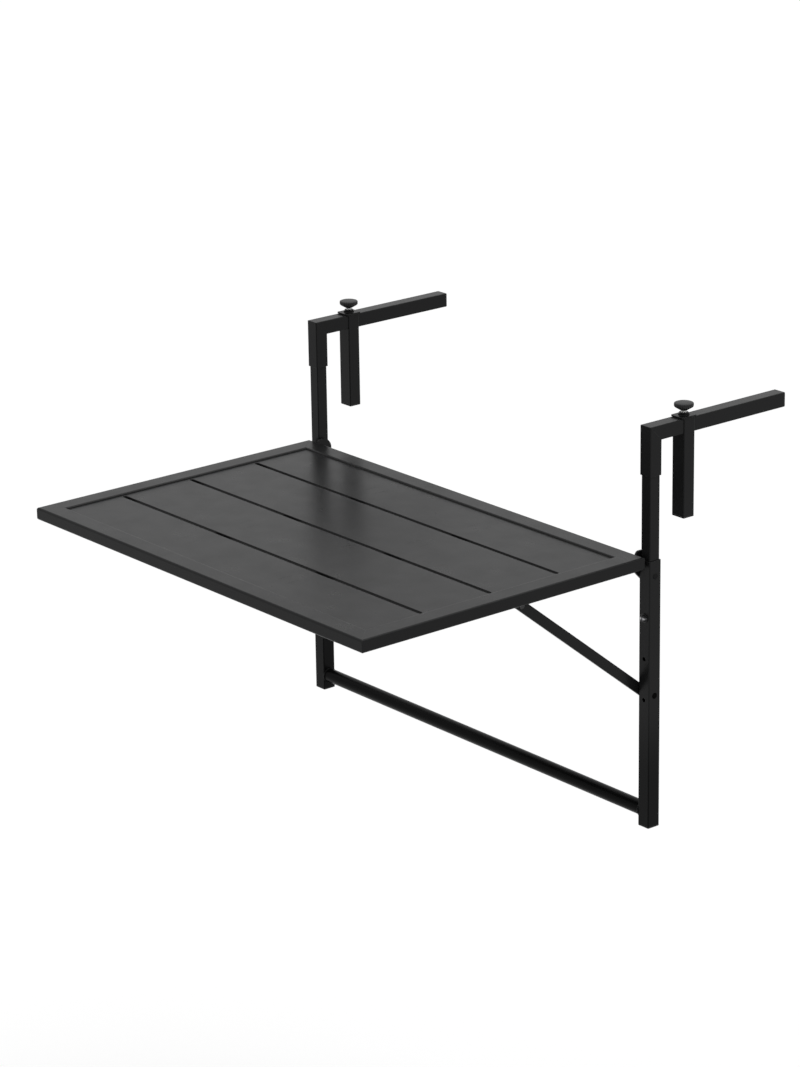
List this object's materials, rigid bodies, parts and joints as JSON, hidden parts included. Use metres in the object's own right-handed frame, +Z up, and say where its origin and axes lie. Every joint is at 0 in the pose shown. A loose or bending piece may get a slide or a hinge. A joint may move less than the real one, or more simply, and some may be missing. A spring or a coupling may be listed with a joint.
{
  "type": "balcony railing bar table",
  "caption": "Fold-down steel table with a slotted top that hangs on a balcony railing by sliding hooks and clamp legs.",
  "frame": {"origin": "midway between the two arms, at the arms' underside and at the sleeves' back faces, where the top inner edge of the railing goes", "axes": "+X along the railing to the user's right seen from the table side facing the railing, +Y away from the user across the railing, +Z up"},
  "size_m": [0.612, 0.61, 0.4893],
  "materials": {
    "coated_tabletop": "satin black powder coat",
    "coated_steel": "satin black powder coat",
    "coated_hardware": "satin black",
    "zinc_steel": "bright zinc plate",
    "plug_plastic": "moulded black plastic",
    "knob_plastic": "moulded black plastic"
  },
  "bodies": {
    "rail_hooks": {"left_arm_tube": "coated_steel", "right_arm_tube": "coated_steel", "left_sleeve_tube": "coated_steel", "right_sleeve_tube": "coated_steel", "left_inner_tube": "coated_steel", "right_inner_tube": "coated_steel", "arm_end_plugs": "plug_plastic", "inner_tube_glide_plugs": "plug_plastic", "lock_nuts": "zinc_steel"},
    "sliding_frame": {"left_upright_tube": "coated_steel", "right_upright_tube": "coated_steel", "crossbar": "coated_steel", "upright_foot_plugs": "plug_plastic", "pivot_hole_caps": "plug_plastic", "hinge_pins": "coated_hardware", "hinge_washers": "zinc_steel", "brace_pins": "coated_hardware", "brace_washers": "zinc_steel", "lock_washers": "zinc_steel"},
    "tabletop": {"front_rail": "coated_tabletop", "back_rail": "coated_tabletop", "left_side_rail": "coated_tabletop", "right_side_rail": "coated_tabletop", "slotted_panel": "coated_tabletop", "left_panel_rib": "coated_steel", "right_panel_rib": "coated_steel", "left_hinge_bracket": "coated_steel", "right_hinge_bracket": "coated_steel", "left_brace_lug": "coated_steel", "right_brace_lug": "coated_steel", "brace_studs": "coated_hardware"},
    "left_brace": {"left_brace": "coated_steel"},
    "right_brace": {"right_brace": "coated_steel"},
    "left_clamp": {"left_clamp_leg": "coated_steel", "left_leg_plug": "plug_plastic", "left_saddle_plate": "coated_steel", "left_thumb_nut": "coated_hardware"},
    "right_clamp": {"right_clamp_leg": "coated_steel", "right_leg_plug": "plug_plastic", "right_saddle_plate": "coated_steel", "right_thumb_nut": "coated_hardware"},
    "left_thumb_knob": {"left_knob": "knob_plastic", "left_thumb_screw": "zinc_steel"},
    "right_thumb_knob": {"right_knob": "knob_plastic", "right_thumb_screw": "zinc_steel"},
    "left_lock": {"left_lock_screw": "zinc_steel"},
    "right_lock": {"right_lock_screw": "zinc_steel"}
  },
  "joints": [
    {"name": "height_slide", "type": "slide", "parent": "rail_hooks", "child": "sliding_frame", "axis": [0, 0, 1], "range_m": [0, 0.0975]},
    {"name": "tabletop_fold", "type": "hinge", "parent": "sliding_frame", "child": "tabletop", "pos_m": [0, -0.0085, -0.156], "axis": [1, 0, 0], "range_deg": [0, 85]},
    {"name": "left_brace_fold", "type": "hinge", "parent": "sliding_frame", "child": "left_brace", "pos_m": [-0.2834, -0.0085, -0.297], "axis": [1, 0, 0], "range_deg": [0, 121.6]},
    {"name": "right_brace_fold", "type": "hinge", "parent": "sliding_frame", "child": "right_brace", "pos_m": [0.2834, -0.0085, -0.297], "axis": [1, 0, 0], "range_deg": [0, 121.6]},
    {"name": "left_clamp_slide", "type": "slide", "parent": "rail_hooks", "child": "left_clamp", "axis": [0, 1, 0], "range_m": [-0.02, 0.13]},
    {"name": "left_knob_turn", "type": "hinge", "parent": "left_clamp", "child": "left_thumb_knob", "pos_m": [-0.295, 0.0405, 0.028], "axis": [0, 0, 1], "continuous": true},
    {"name": "left_lock_turn", "type": "hinge", "parent": "sliding_frame", "child": "left_lock", "pos_m": [-0.295, -0.019, -0.205], "axis": [0, 1, 0], "continuous": true},
    {"name": "right_clamp_slide", "type": "slide", "parent": "rail_hooks", "child": "right_clamp", "axis": [0, 1, 0], "range_m": [-0.02, 0.13]},
    {"name": "right_knob_turn", "type": "hinge", "parent": "right_clamp", "child": "right_thumb_knob", "pos_m": [0.295, 0.0405, 0.028], "axis": [0, 0, 1], "continuous": true},
    {"name": "right_lock_turn", "type": "hinge", "parent": "sliding_frame", "child": "right_lock", "pos_m": [0.295, -0.019, -0.205], "axis": [0, 1, 0], "continuous": true}
  ],
  "couplings": [
    {"joint": "left_brace_fold", "follows": "tabletop_fold", "ratio": 1.43},
    {"joint": "right_brace_fold", "follows": "tabletop_fold", "ratio": 1.43}
  ]
}
